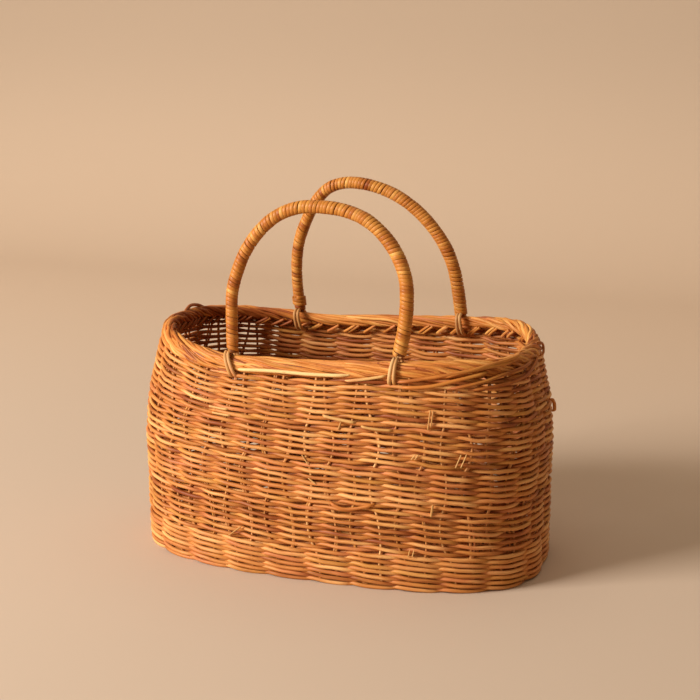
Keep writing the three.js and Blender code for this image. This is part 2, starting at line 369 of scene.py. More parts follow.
def smooth_read(places: Array, knots: Array, values: Array) -> Array:
    """Reads a smooth curve through given values, by cubic interpolation.

    Args:
        places: Where to read it.
        knots: Where the values stand, in rising order.
        values: The values.

    Returns:
        The curve's values.
    """
    last = len(knots) - 1
    low, high = np.maximum(np.arange(last + 1) - 1, 0), np.minimum(np.arange(last + 1) + 1, last)
    slopes = (values[high] - values[low]) / (knots[high] - knots[low])
    i = np.clip(np.searchsorted(knots, places, side="right") - 1, 0, last - 1)
    step = knots[i + 1] - knots[i]
    return cubic((places - knots[i]) / step, step, i, values, slopes)


def smooth_path(points: Array, steps: int, finer: int = 8) -> Array:
    """Runs a centripetal spline through points, at even distances.

    Args:
        points: The points that the line passes through.
        steps: How many steps the result has.
        finer: How many times finer the line is measured.

    Returns:
        The line's points.
    """
    chords = np.sqrt(np.linalg.norm(np.diff(points, axis=0), axis=1))
    knots = np.concatenate([[0.0], np.cumsum(chords)])
    slopes = np.diff(points, axis=0) / chords[:, None]
    tangents = np.empty_like(points)
    tangents[0], tangents[-1] = slopes[0], slopes[-1]
    before, after = chords[:-1, None], chords[1:, None]
    tangents[1:-1] = (slopes[:-1] * after + slopes[1:] * before) / (before + after)
    fine = np.linspace(0, knots[-1], steps * finer)
    i = np.clip(np.searchsorted(knots, fine, side="right") - 1, 0, len(chords) - 1)
    t = ((fine - knots[i]) / chords[i])[:, None]
    line = cubic(t, chords[i][:, None], i, points, tangents)
    way = measure(line)
    return read_line(np.linspace(0, way[-1], steps + 1), way, line)


@dataclass(frozen=True)
class BasketForm:
    """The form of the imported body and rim, and how far the hand-made ones stray from it."""

    length: float = 0.330
    depth: float = 0.204
    height: float = 0.175
    border_height: float = 0.014
    border_width: float = 0.011
    border_squareness: float = 2.4
    inner_row_width: float = 0.0036
    clearance: float = 0.0003
    foot_rounding: float = 0.0045
    bulge: float = 0.005
    bulge_place: float = 0.19
    bulge_width: float = 0.45
    bulge_height: float = 0.055
    rise_start: float = 0.085
    ring_height: float = 0.080
    ring_inset: float = 0.004
    ring_samples: int = 6000
    probe: float = 0.01

    @property
    def border_middle(self) -> float:
        """Height of the border's middle."""
        return self.height - self.border_height / 2

    @property
    def rim_width(self) -> float:
        """Width of the border with the row inside it."""
        return self.border_width + self.clearance + self.inner_row_width

    def column(self, name: str, z: Array) -> Array:
        """Reads one column of the sections at some heights, by cubic interpolation.

        Args:
            name: The column's name.
            z: Heights in metres.

        Returns:
            The column's values.
        """
        share = np.clip(np.asarray(z, float) / self.height, 0, 1)
        heights = np.array([row.height for row in BODY_SECTIONS])
        return smooth_read(share, heights, np.array([getattr(row, name) for row in BODY_SECTIONS]))

    def halves(self, z: Array, inset: Array | float) -> tuple[Array, Array]:
        """Gives half the even body's length and half its depth, less an inset, at some heights."""
        half_length = self.length / 2 * self.column("length", z) - inset
        return half_length, self.depth / 2 * self.column("depth", z) - inset

    def even_point(self, theta: Array, z: Array, inset: Array | float) -> Array:
        """Gives points on the even body's surface, or inside of it.

        Args:
            theta: Angles of the plan.
            z: Heights.
            inset: How far the points lie inside of the surface.

        Returns:
            The points.
        """
        z = np.asarray(z, float) + 0 * theta
        half_length, half_depth = self.halves(z, inset)
        along, across = superellipse(theta, self.column("squareness", z))
        return np.stack([half_length * along, half_depth * across, z], axis=-1)

    def point(self, theta: Array, z: Array, inset: Array | float) -> Array:
        """Gives points on the hand-made body, whose rim rises and sinks on its way round.

        Args:
            theta: Angles of the plan.
            z: Heights on the even body.
            inset: How far the points lie inside of the surface.

        Returns:
            The points.
        """
        share = self.rise_share(np.asarray(z, float))
        inset = inset + share * self.rim_read("draw", theta) - self.foot_bulge(theta, z)
        points = self.even_point(theta, z, inset)
        points[..., 2] += self.rim_read("rise", theta) * share
        return points

    def outward(self, theta: Array, z: Array) -> Array:
        """Gives directions out of the wall."""
        return self.point(theta, z, 0.0) - self.point(theta, z, self.probe)

    def foot_bulge(self, theta: Array, z: Array) -> Array:
        """Tells how far the foot stands out at the basket's front right corner.

        Args:
            theta: Angles of the plan.
            z: Heights.

        Returns:
            The distances.
        """
        middle = self.theta_at(np.array(self.bulge_place))
        apart = (theta - middle + np.pi) % TAU - np.pi
        share = np.clip(1 - np.asarray(z) / self.bulge_height, 0, 1)
        return self.bulge * np.exp(-((apart / self.bulge_width) ** 2)) * ease(share)

    def rim_read(self, name: str, theta: Array) -> Array:
        """Reads one column of the rim's places at angles of the plan, by smooth interpolation.

        Args:
            name: The column's name.
            theta: Angles of the plan.

        Returns:
            The column's values.
        """
        knots = np.array([place.turn for place in RIM_PLACES])
        values = np.array([getattr(place, name) for place in RIM_PLACES])
        angles, share, _ = self.ring
        turns = np.interp((theta - angles[0]) % TAU + angles[0], angles, share)
        knots = np.concatenate([knots[-2:] - 1, knots, knots[:2] + 1])
        return smooth_read(turns, knots, np.concatenate([values[-2:], values, values[:2]]))

    def rise_share(self, z: Array) -> Array:
        """Tells how much of the rim's rise a height takes part in, none in the lower half."""
        return ease(np.clip((z - self.rise_start) / (self.height - self.rise_start), 0, 1))

    def rise_at(self, x: Array, y: Array) -> Array:
        """Tells how far the rim stands above its even height at places on the rim."""
        half_length, half_depth = self.halves(np.array(self.height), 0.0)
        return self.rim_read("rise", np.arctan2(y / half_depth, x / half_length))

    def depth_at(self, x: Array, z: Array, inset: Array | float) -> Array:
        """Gives the distance of the surface from the long middle line.

        Args:
            x: Places along the basket.
            z: Heights.
            inset: How far inside of the surface.

        Returns:
            The distances.
        """
        half_length, half_depth = self.halves(z, inset)
        squareness = self.column("squareness", z)
        return half_depth * (1 - np.abs(x / half_length) ** squareness) ** (1 / squareness)

    @cached_property
    def ring(self) -> tuple[Array, Array, float]:
        """The way round the wall, a little above the foot's bulge and inside the surface.

        Returns:
            Angles round the plan, the share of the way round at each, and the whole way round.
        """
        theta = np.linspace(-np.pi / 2, TAU - np.pi / 2, self.ring_samples + 1)
        way = measure(self.even_point(theta, self.ring_height, self.ring_inset))
        return theta, way / way[-1], float(way[-1])

    def theta_at(self, turns: Array) -> Array:
        """Turns even places round the wall into angles of the plan.

        Args:
            turns: Places in loops from the middle of the front, to the right and round.

        Returns:
            The angles.
        """
        theta, share, _ = self.ring
        whole = np.floor(turns)
        return np.interp(turns - whole, share, theta) + TAU * whole

    def foot_tuck(self, z: Array) -> Array:
        """Tells how far the rounded foot draws the surface in at some heights."""
        fall = np.clip(1 - z / self.foot_rounding, 0, 1)
        return self.foot_rounding * (1 - np.sqrt(1 - fall**2))


@dataclass
class RodMesh:
    """Gathers swept rods and joins them in one mesh, with each rod's grain and tone kept on its points."""

    name: str
    rng: np.random.Generator
    sides: int = ROUND_SIDES
    grain_along: float = 5.0
    grain_across: float = 1.0
    points: list[Array] = field(default_factory=list)
    grains: list[Array] = field(default_factory=list)
    tones: list[Array] = field(default_factory=list)
    quads: list[Array] = field(default_factory=list)
    caps: list[Array] = field(default_factory=list)
    count: int = 0

    def sweep(
        self,
        path: Array,
        radius: Array | float,
        facing: Array,
        tone: Array | float,
        closed: bool = False,
        section: Array | None = None,
    ) -> None:
        """Adds one rod.

        Args:
            path: The rod's middle line.
            radius: The rod's radius along the line, or what the section is multiplied by.
            facing: The direction of the section's first axis along the line.
            tone: The rod's place between its finish's dark and pale colours.
            closed: Whether the line closes on its start.
            section: The section's outline, if it isn't round.
        """
        steps = len(path)
        if section is None:
            section = outline(self.sides)
        sides = len(section)
        if closed:
            ahead = np.roll(path, -1, axis=0) - np.roll(path, 1, axis=0)
        else:
            ahead = np.gradient(path, axis=0)
        tangent = unit(ahead)
        normal = unit(facing - np.sum(facing * tangent, axis=1, keepdims=True) * tangent)
        side = np.cross(tangent, normal)
        size = np.broadcast_to(radius, (steps,))[:, None, None]
        rim = section[None, :, :1] * normal[:, None] + section[None, :, 1:] * side[:, None]
        self.points.append((path[:, None] + size * rim).reshape(-1, 3))
        across = size * section[None] + self.rng.uniform(-self.grain_across, self.grain_across, 2)
        start = self.rng.uniform(0, self.grain_along)
        along = np.broadcast_to((measure(path) + start)[:, None, None], (steps, sides, 1))
        self.grains.append(np.concatenate([along, across], axis=2).reshape(-1, 3))
        self.tones.append(np.repeat(np.broadcast_to(tone, (steps,)), sides))
        spans = steps if closed else steps - 1
        row = np.arange(spans)[:, None]
        k = np.arange(sides)[None]
        here, there = row * sides, (row + 1) % steps * sides
        beside = (k + 1) % sides
        faces = np.stack([here + k, here + beside, there + beside, there + k], axis=2)
        self.quads.append(faces.reshape(-1, 4) + self.count)
        if not closed:
            self.caps.append(np.arange(sides)[::-1] + self.count)
            self.caps.append(np.arange(sides) + (steps - 1) * sides + self.count)
        self.count += steps * sides

    def build(self) -> bpy.types.Object:
        """Makes the joined mesh.

        Returns:
            The new object.
        """
        mesh = bpy.data.meshes.new(self.name)
        quads = np.concatenate(self.quads)
        corners = np.concatenate([quads.ravel(), *self.caps]).astype(np.int32)
        sizes = np.array([4] * len(quads) + [len(cap) for cap in self.caps], dtype=np.int32)
        starts = np.concatenate([[0], np.cumsum(sizes)[:-1]]).astype(np.int32)
        mesh.vertices.add(self.count)
        mesh.vertices.foreach_set("co", np.concatenate(self.points).astype(np.float32).ravel())
        mesh.loops.add(len(corners))
        mesh.loops.foreach_set("vertex_index", corners)
        mesh.polygons.add(len(sizes))
        mesh.polygons.foreach_set("loop_start", starts)
        mesh.polygons.foreach_set("loop_total", sizes)
        smooth = np.ones(len(sizes), dtype=bool)
        smooth[len(quads) :] = False
        mesh.polygons.foreach_set("use_smooth", smooth)
        grain = mesh.attributes.new("grain", "FLOAT_VECTOR", "POINT")
        grain.data.foreach_set("vector", np.concatenate(self.grains).astype(np.float32).ravel())
        tone = mesh.attributes.new("tone", "FLOAT", "POINT")
        tone.data.foreach_set("value", np.concatenate(self.tones).astype(np.float32))
        mesh.update(calc_edges=True)
        mesh.validate()
        return show(self.name, mesh)


class NodeSheet:
    """A node tree with short calls to add and join nodes."""

    def __init__(self, tree: bpy.types.NodeTree) -> None:
        """Keeps the tree that the nodes go into."""
        self.tree = tree

    def add(self, kind: str, inputs: dict[str, object] | None = None, **settings: object) -> bpy.types.Node:
        """Adds a node.

        Args:
            kind: The node's type.
            inputs: Values, or sockets to join, for its inputs by name or number.
            settings: Values for its own properties.

        Returns:
            The node.
        """
        node = self.tree.nodes.new(kind)
        for key, value in settings.items():
            setattr(node, key, value)
        for key, value in (inputs or {}).items():
            self.feed(node.inputs[key], value)
        return node

    def feed(self, socket: bpy.types.NodeSocket, value: object) -> None:
        """Gives an input its value.

        Args:
            socket: The input.
            value: The value, or the socket that it comes from.
        """
        if isinstance(value, bpy.types.NodeSocket):
            self.tree.links.new(value, socket)
        else:
            socket.default_value = value

    def maths(self, operation: str, first: object, second: object = 0.0, third: object = 0.0) -> object:
        """Adds a Math node and gives its result."""
        values = {0: first, 1: second, 2: third}
        return self.add("ShaderNodeMath", values, operation=operation).outputs[0]

    def spread(self, value: object, low: float, high: float, top: float = 1.0) -> object:
        """Maps a range of values smoothly to 0 and a top value."""
        values = {"Value": value, 1: low, 2: high, 3: 0.0, 4: top}
        return self.add("ShaderNodeMapRange", values, interpolation_type="SMOOTHSTEP").outputs["Result"]

    def blend(self, share: object, first: object, second: object) -> object:
        """Mixes two colours.

        Args:
            share: How much of the second colour there is.
            first: The first colour.
            second: The second colour.

        Returns:
            The mixed colour's socket.
        """
        node = self.add("ShaderNodeMix", data_type="RGBA")
        for name, kind, value in (("Factor", "VALUE", share), ("A", "RGBA", first), ("B", "RGBA", second)):
            self.feed(next(s for s in node.inputs if s.name == name and s.type == kind), value)
        return next(s for s in node.outputs if s.type == "RGBA")


def new_material(name: str) -> tuple[bpy.types.Material, NodeSheet]:
    """Makes an empty material.

    Args:
        name: Its name.

    Returns:
        The material and the sheet of its nodes.
    """
    material = bpy.data.materials.new(name)
    material.use_nodes = True
    material.node_tree.nodes.clear()
    return material, NodeSheet(material.node_tree)


@dataclass(frozen=True)
class CaneFinish:
    """How one kind of cane looks."""

    name: str
    deep: Colour
    body: Colour
    pale: Colour
    blush: Colour = (0.64, 0.205, 0.085)
    gold: Colour = (0.62, 0.31, 0.06)
    roughness: float = 0.55
    coat: float = 0.04
    fleck: float = 0.5
    relief: float = 0.00012
    streak_across: float = 1500.0


WEAVER = CaneFinish(
    name="peeled_weaver",
    deep=(0.27, 0.060, 0.010),
    body=(0.60, 0.222, 0.050),
    pale=(0.86, 0.46, 0.165),
)
STAKE = CaneFinish(
    name="peeled_stake",
    deep=(0.36, 0.11, 0.02),
    body=(0.62, 0.27, 0.085),
    pale=(0.82, 0.48, 0.20),
)
BORDER = CaneFinish(
    name="bent_border",
    deep=(0.29, 0.065, 0.009),
    body=(0.62, 0.215, 0.037),
    pale=(0.86, 0.43, 0.12),
)
BINDING = CaneFinish(
    name="flat_binding",
    deep=(0.26, 0.052, 0.005),
    body=(0.53, 0.185, 0.025),
    pale=(0.76, 0.38, 0.09),
    blush=(0.50, 0.15, 0.035),
    gold=(0.56, 0.24, 0.035),
    roughness=0.5,
    coat=0.06,
    fleck=0.35,
    relief=0.00008,
    streak_across=2600.0,
)
# Painted shade: the dark finish of the roll's filling and of the handles' cores stands for the shade between
# the strands that cover them.
CORE_PAINTED_SHADE = CaneFinish(
    name="core_painted_shade",
    deep=(0.10, 0.022, 0.004),
    body=(0.20, 0.055, 0.010),
    pale=(0.30, 0.10, 0.02),
)
TIE = CaneFinish(
    name="pale_tie",
    deep=(0.38, 0.15, 0.045),
    body=(0.58, 0.29, 0.10),
    pale=(0.80, 0.53, 0.26),
)
CREAM = CaneFinish(
    name="cream_strand",
    deep=(0.50, 0.24, 0.07),
    body=(0.70, 0.40, 0.14),
    pale=(0.88, 0.62, 0.28),
)


class CaneShop:
    """Makes the cane's shared shader group and the materials that use it."""

    GROUP = "cane_skin"
    COLOURS = ("Deep", "Body", "Pale", "Blush", "Gold")
    STREAKS_ALONG = 22.0
    STREAK_WEIGHT = 0.75
    BLOTCHES_ALONG = 55.0
    BLOTCHES_ACROSS = 160.0
    BLOTCH_WEIGHT = 0.55
    HUES_ALONG = 16.0
    HUES_ACROSS = 50.0
    HUE_SHARE = 0.5
    BLUSH_START = 0.52
    BLUSH_END = 0.66
    GOLD_START = 0.48
    GOLD_END = 0.34
    FLECKS_ALONG = 330.0
    FLECKS_ACROSS = 900.0
    FLECKS_START = 0.62
    FLECKS_END = 0.74
    FINE_DETAIL = 3.0
    PLAIN_DETAIL = 2.0
    NOISE_ROUGHNESS = 0.6
    BODY_LEVEL = 0.5
    PALE_START = 0.45
    PALE_LEVEL = 1.0
    ROUGH_STREAK = 0.25
    ROUGH_BLOTCH = 0.2
    BLOTCH_HEIGHT = 0.5
    RELIEF_STRENGTH = 0.6
    SPECULAR = 0.3
    COAT_ROUGHNESS = 0.3

    def __init__(self) -> None:
        """Builds the group once."""
        self.group = self._cane_skin()
        self.made: dict[str, bpy.types.Material] = {}

    def _cane_skin(self) -> bpy.types.NodeTree:
        """Builds the group: streaks along each rod, blotches, hues, dark flecks and a tone for each rod.

        Returns:
            The group's tree.
        """
        tree = bpy.data.node_groups.new(self.GROUP, "ShaderNodeTree")
        for name in self.COLOURS:
            tree.interface.new_socket(name=name, in_out="INPUT", socket_type="NodeSocketColor")
        for name in ("Streaks Across", "Fleck", "Roughness"):
            tree.interface.new_socket(name=name, in_out="INPUT", socket_type="NodeSocketFloat")
        tree.interface.new_socket(name="Colour", in_out="OUTPUT", socket_type="NodeSocketColor")
        for name in ("Roughness", "Height"):
            tree.interface.new_socket(name=name, in_out="OUTPUT", socket_type="NodeSocketFloat")
        sheet = NodeSheet(tree)
        given = sheet.add("NodeGroupInput").outputs
        grain = sheet.add("ShaderNodeAttribute", attribute_name="grain").outputs["Vector"]
        tone = sheet.add("ShaderNodeAttribute", attribute_name="tone").outputs["Fac"]
        parts = sheet.add("ShaderNodeSeparateXYZ", {0: grain}).outputs

        def noise(along: float, across: object, detail: float) -> object:
            """Adds noise that is stretched along the rods.

            Args:
                along: How many waves it has in a metre along the rods.
                across: The same across them, a number or a socket.
                detail: How fine it gets.

            Returns:
                The noise's socket.
            """
            waves = (along, across, across)
            stretched = [sheet.maths("MULTIPLY", part, wave) for part, wave in zip(parts, waves)]
            place = sheet.add("ShaderNodeCombineXYZ", dict(enumerate(stretched))).outputs[0]
            values = {"Vector": place, "Scale": 1.0, "Detail": detail, "Roughness": self.NOISE_ROUGHNESS}
            return sheet.add("ShaderNodeTexNoise", values).outputs[0]

        streaks = noise(self.STREAKS_ALONG, given["Streaks Across"], self.FINE_DETAIL)
        blotches = noise(self.BLOTCHES_ALONG, self.BLOTCHES_ACROSS, self.FINE_DETAIL)
        flecks = noise(self.FLECKS_ALONG, self.FLECKS_ACROSS, self.PLAIN_DETAIL)
        hues = noise(self.HUES_ALONG, self.HUES_ACROSS, self.PLAIN_DETAIL)
        streak = sheet.maths("SUBTRACT", streaks, 0.5)
        blotch = sheet.maths("SUBTRACT", blotches, 0.5)
        level = sheet.maths("MULTIPLY_ADD", streak, self.STREAK_WEIGHT, tone)
        level = sheet.maths("MULTIPLY_ADD", blotch, self.BLOTCH_WEIGHT, level)
        blush = sheet.spread(hues, self.BLUSH_START, self.BLUSH_END, self.HUE_SHARE)
        gold = sheet.spread(hues, self.GOLD_START, self.GOLD_END, self.HUE_SHARE)
        body = sheet.blend(gold, sheet.blend(blush, given["Body"], given["Blush"]), given["Gold"])
        colour = sheet.blend(sheet.spread(level, 0.0, self.BODY_LEVEL), given["Deep"], body)
        colour = sheet.blend(sheet.spread(level, self.PALE_START, self.PALE_LEVEL), colour, given["Pale"])
        fleck = sheet.spread(flecks, self.FLECKS_START, self.FLECKS_END)
        colour = sheet.blend(sheet.maths("MULTIPLY", fleck, given["Fleck"]), colour, given["Deep"])
        rough = sheet.maths("MULTIPLY_ADD", streak, self.ROUGH_STREAK, given["Roughness"])
        rough = sheet.maths("MULTIPLY_ADD", blotch, self.ROUGH_BLOTCH, rough)
        height = sheet.maths("MULTIPLY_ADD", blotches, self.BLOTCH_HEIGHT, streaks)
        sheet.add("NodeGroupOutput", {"Colour": colour, "Roughness": rough, "Height": height})
        return tree

    def material(self, finish: CaneFinish) -> bpy.types.Material:
        """Makes a finish's material, or gives the one that was made before.

        Args:
            finish: The finish.

        Returns:
            The material.
        """
        if finish.name in self.made:
            return self.made[finish.name]
        material, sheet = new_material(finish.name)
        skin = sheet.add("ShaderNodeGroup", node_tree=self.group)
        for name in self.COLOURS:
            skin.inputs[name].default_value = (*getattr(finish, name.lower()), 1.0)
        skin.inputs["Streaks Across"].default_value = finish.streak_across
        skin.inputs["Fleck"].default_value = finish.fleck
        skin.inputs["Roughness"].default_value = finish.roughness
        height = skin.outputs["Height"]
        relief = {"Height": height, "Strength": self.RELIEF_STRENGTH, "Distance": finish.relief}
        surface = {
            "Base Color": skin.outputs["Colour"],
            "Roughness": skin.outputs["Roughness"],
            "Normal": sheet.add("ShaderNodeBump", relief).outputs[0],
            "Specular IOR Level": self.SPECULAR,
            "Coat Weight": finish.coat,
            "Coat Roughness": self.COAT_ROUGHNESS,
        }
        shader = sheet.add("ShaderNodeBsdfPrincipled", surface)
        sheet.add("ShaderNodeOutputMaterial", {"Surface": shader.outputs[0]})
        self.made[finish.name] = material
        return material


@dataclass
class Workshop:
    """What every sub-assembly needs: the form, the finishes and the random source."""

    form: BasketForm
    canes: CaneShop
    rng: np.random.Generator

    def rods(self, name: str, sides: int = ROUND_SIDES) -> RodMesh:
        """Starts a piece of joined rods."""
        return RodMesh(name=name, rng=self.rng, sides=sides)

    def place(self, rods: RodMesh, finish: CaneFinish, slot: Slot, stands_for: tuple[str, ...] = ()) -> None:
        """Finishes a piece: its mesh, material, body and the solids that it stands for.

        Args:
            rods: The piece's rods.
            finish: Its finish.
            slot: The record's slot; not used.
            stands_for: Names of the solids that it replaces.
        """
        piece = rods.build()
        piece.data.materials.append(self.canes.material(finish))
        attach(piece, BODY)
        if stands_for:
            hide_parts(*stands_for)
        LOG.info("%s: %d faces", piece.name, len(piece.data.polygons))


@dataclass
class TwinedBody:
    """The body's weavers, twined in rows over pairs of stakes, and the stakes themselves."""

    shop: Workshop
    pairs: int = 25
    first_place: float = 0.536
    first_row: float = 0.0018
    stations: int = 14
    slip: float = 0.05
    fine_waves: int = 30
    weaver_radius: float = 0.00155
    row_thickness: float = 0.05
    strand_thickness: float = 0.04
    thickness_waves: int = 20
    middle_inset: float = 0.0040
    swing: float = 0.0025
    swing_sharpness: float = 1.2
    drop: float = 0.0012
    drop_power: float = 1.8
    bow: float = 0.0003
    inner_drop: float = 0.0012
    row_sway: float = 0.0008
    sway_waves: int = 7
    sway_height: float = 0.03
    row_jitter: float = 0.00032
    jitter_waves: int = 34
    floor_gap: float = 1.02
    gap_start: float = 0.618
    gap_end: float = 0.752
    gap_blur: float = 0.01
    gap_low: float = 0.112
    gap_rise: float = 0.02
    gap_drop: float = 0.0024
    gap_power: float = 6.0
    gap_thin: float = 0.12
    gap_shade: float = 0.35
    shift: float = 0.0118
    shift_place: float = 0.66
    shift_width: float = 0.055
    row_tone: float = 0.06
    stroke_tone: float = 0.16
    strand_tone: float = 0.1
    inner_shade: float = 0.15
    stake_radius: float = 0.0009
    stake_thickness: float = 0.12
    stake_gap: float = 0.0022
    stake_parted: float = 0.2
    stake_part_sway: float = 0.55
    stake_part_waves: int = 4
    stake_part_most: float = 1.2
    stake_drift: float = 0.0003
    stake_drift_waves: int = 3
    stake_inset: float = 0.0036
    stake_depth: float = 0.0002
    stake_tone: float = 0.15
    stake_foot: float = 0.004
    stake_top: float = 0.164
    stake_steps: int = 44
    half_gap: float = 0.25
    gather_power: float = 0.7
    # The filler is a darker rod hidden in the back wall; its tone is painted shade seen through the gaps
    # between rows.
    filler_start: float = 0.2
    filler_end: float = 0.612
    filler_steps: int = 180
    filler_radius: float = 0.0011
    filler_drop: float = 0.0006
    filler_shade_tone: float = 0.3

    def band_start(self, number: int) -> float:
        """Height of the lower edge of a band."""
        return self.first_row - BANDS[0].pitch / 2 + sum(band.rows * band.pitch for band in BANDS[:number])

    def pair_place(self, number: int) -> float:
        """Where the pairs of a band lie, in pairs from the middle of the front."""
        return self.first_place + 0.5 * number + BANDS[number].lean

    def sway(self, turns: Array) -> Array:
        """Tells how far all rows rise and fall together round the basket."""
        return self.row_sway * wander(np.random.default_rng(SEED), turns, self.sway_waves)

    def loose(self, turns: Array) -> Array:
        """Gives the share, 0 to 1, in which the rows stand apart and let the light through."""
        return window(turns % 1, self.gap_start, self.gap_end, self.gap_blur)

    def uneven(self, turns: Array) -> Array:
        """Tells how far the pairs stand off their even places, in loops."""
        apart = (turns - self.shift_place + 0.5) % 1 - 0.5
        return -self.shift * np.exp(-((apart / self.shift_width) ** 2))

    def stroke_tones(self, phase: Array) -> Array:
        """Gives each stroke of a row its own random tone, blended into the next.

        Args:
            phase: The strand's phase, half a wave for each stroke.

        Returns:
            The tones, about -1 to 1.
        """
        strokes = self.shop.rng.normal(size=2 * self.pairs)
        place = phase / np.pi
        stroke = np.floor(place).astype(int)
        share = ease(place - stroke)
        return strokes[stroke % len(strokes)] * (1 - share) + strokes[(stroke + 1) % len(strokes)] * share

    def row(self, rods: RodMesh, number: int, z: float) -> None:
        """Adds one row, in which a strand goes round twice, once on each side of every pair.

        Args:
            rods: The piece that the strand goes into.
            number: The number of the row's band.
            z: The row's height.
        """
        rng = self.shop.rng
        form = self.shop.form
        turns = np.linspace(0, ROW_LOOPS, ROW_LOOPS * self.pairs * self.stations, endpoint=False)
        slip = self.slip * wander(rng, turns, self.fine_waves, ROW_LOOPS)
        phase = np.pi * ((turns - self.uneven(turns)) * self.pairs - self.pair_place(number) + slip)
        depth = np.tanh(self.swing_sharpness * np.cos(phase)) / np.tanh(self.swing_sharpness)
        loose = self.loose(turns) * np.clip((z - self.gap_low) / self.gap_rise, 0, 1)
        power = self.drop_power + (self.gap_power - self.drop_power) * loose
        fall = np.sin(phase) * np.abs(np.sin(phase)) ** (power - 1)
        thickness = 1 + self.row_thickness * rng.normal()
        thickness = thickness + self.strand_thickness * wander(rng, turns, self.thickness_waves, ROW_LOOPS)
        radius = self.weaver_radius * thickness * (1 - self.gap_thin * loose)
        packing = BANDS[number].pitch / BANDS[-1].pitch
        height = z + self.sway(turns % 1) * min(1.0, z / self.sway_height) - self.drop * packing * fall
        height += self.bow * np.sin(phase) ** 2
        height += self.row_jitter * wander(rng, turns, self.jitter_waves, ROW_LOOPS)
        height -= (self.inner_drop - self.gap_drop * loose) * (1 - depth) / 2
        height = np.maximum(height, radius * self.floor_gap)
        inset = self.middle_inset - (self.swing + self.weaver_radius - radius) * depth
        inset += form.foot_tuck(height)
        theta = form.theta_at(turns)
        tone = 0.5 + self.row_tone * rng.normal() + self.stroke_tone * self.stroke_tones(phase)
        tone += self.strand_tone * wander(rng, turns, self.fine_waves, ROW_LOOPS)
        tone -= (self.inner_shade + self.gap_shade * loose) * (1 - depth) / 2
        rods.sweep(form.point(theta, height, inset), radius, form.outward(theta, height), tone, closed=True)

    def weave(self) -> None:
        """Makes the five bands of rows, and the filler that closes the back between them, a darker rod that
        the gaps there show as painted shade.
        """
        shade_filler = self.shop.rods("shade_filler_rods", sides=THIN_SIDES)
        for number, band in enumerate(BANDS):
            rods = self.shop.rods(band.name)
            for row in range(band.rows):
                z = self.band_start(number) + (row + 0.5) * band.pitch
                self.row(rods, number, z)
                self.fill(shade_filler, z + band.pitch / 2 - self.filler_drop)
            stands_for = ("wall",) if number == 0 else ()
            self.shop.place(rods, WEAVER, Slot.WEAVE, stands_for)
        self.shop.place(shade_filler, WEAVER, Slot.WEAVE)

    def fill(self, rods: RodMesh, z: float) -> None:
        """Adds a thin, darker rod in the middle of the back wall, between two rows: painted shade behind the
        gaps.

        Args:
            rods: The piece that the rod goes into.
            z: The rod's height.
        """
        rng = self.shop.rng
        form = self.shop.form
        turns = np.linspace(self.filler_start, self.filler_end, self.filler_steps)
        theta = form.theta_at(turns)
        height = z + self.sway(turns) + self.row_jitter * wander(rng, turns, self.jitter_waves)
        path = form.point(theta, height, self.middle_inset)
        # Painted shade: a darker tone for the rod seen through the gaps.
        tone = self.filler_shade_tone + self.strand_tone * wander(rng, turns, self.fine_waves)
        rods.sweep(path, self.filler_radius, form.outward(theta, height), tone)

    def stake_place(self, stake: int, z: Array) -> Array:
        """Tells where a stake lies at some heights.

        Args:
            stake: The stake's number, two to a pair.
            z: Heights.

        Returns:
            Places in loops round the basket.
        """
        starts = np.array([self.band_start(number) for number in range(len(BANDS) + 1)])
        middles = (starts[:-1] + starts[1:]) / 2
        leans = np.array([band.lean for band in BANDS])
        place = self.first_place + stake / 2 - self.half_gap + np.interp(z, middles, leans)
        for number, band in enumerate(BANDS):
            share = np.clip((z - starts[number]) / (starts[number + 1] - starts[number]), 0, 1)
            if number == len(BANDS) - 1:
                pull = np.sin(np.pi / 2 * share)
            else:
                pull = np.sin(np.pi * share) ** self.gather_power
            towards = 1 if (stake - number) % 2 == 0 else -1
            place = place + towards * band.gather * pull
        return place / self.pairs

    def stakes(self) -> None:
        """Makes the stakes, two thin rods each, which change partners from band to band."""
        rods = self.shop.rods("stakes", sides=THIN_SIDES)
        rng = self.shop.rng
        form = self.shop.form
        z = np.linspace(self.stake_foot, self.stake_top, self.stake_steps)
        u = np.linspace(0, 1, self.stake_steps)
        _, _, around = form.ring
        for stake in range(2 * self.pairs):
            middle = self.stake_place(stake, z)
            middle = middle + self.uneven(middle)
            parted = self.stake_parted + self.stake_part_sway * wander(rng, u, self.stake_part_waves)
            gap = self.stake_gap * np.clip(parted, 0, self.stake_part_most)
            for hand in (-0.5, 0.5):
                drift = self.stake_drift * wander(rng, u, self.stake_drift_waves)
                turns = middle + (hand * gap + drift) / around
                theta = form.theta_at(turns)
                inset = self.stake_inset + form.foot_tuck(z) + self.stake_depth * rng.normal()
                tone = 0.5 + self.stake_tone * rng.normal() - self.gap_shade * self.loose(turns)
                radius = self.stake_radius * (1 + self.stake_thickness * rng.normal())
                rods.sweep(form.point(theta, z, inset), radius, form.outward(theta, z), tone)
        self.shop.place(rods, STAKE, Slot.WEAVE)


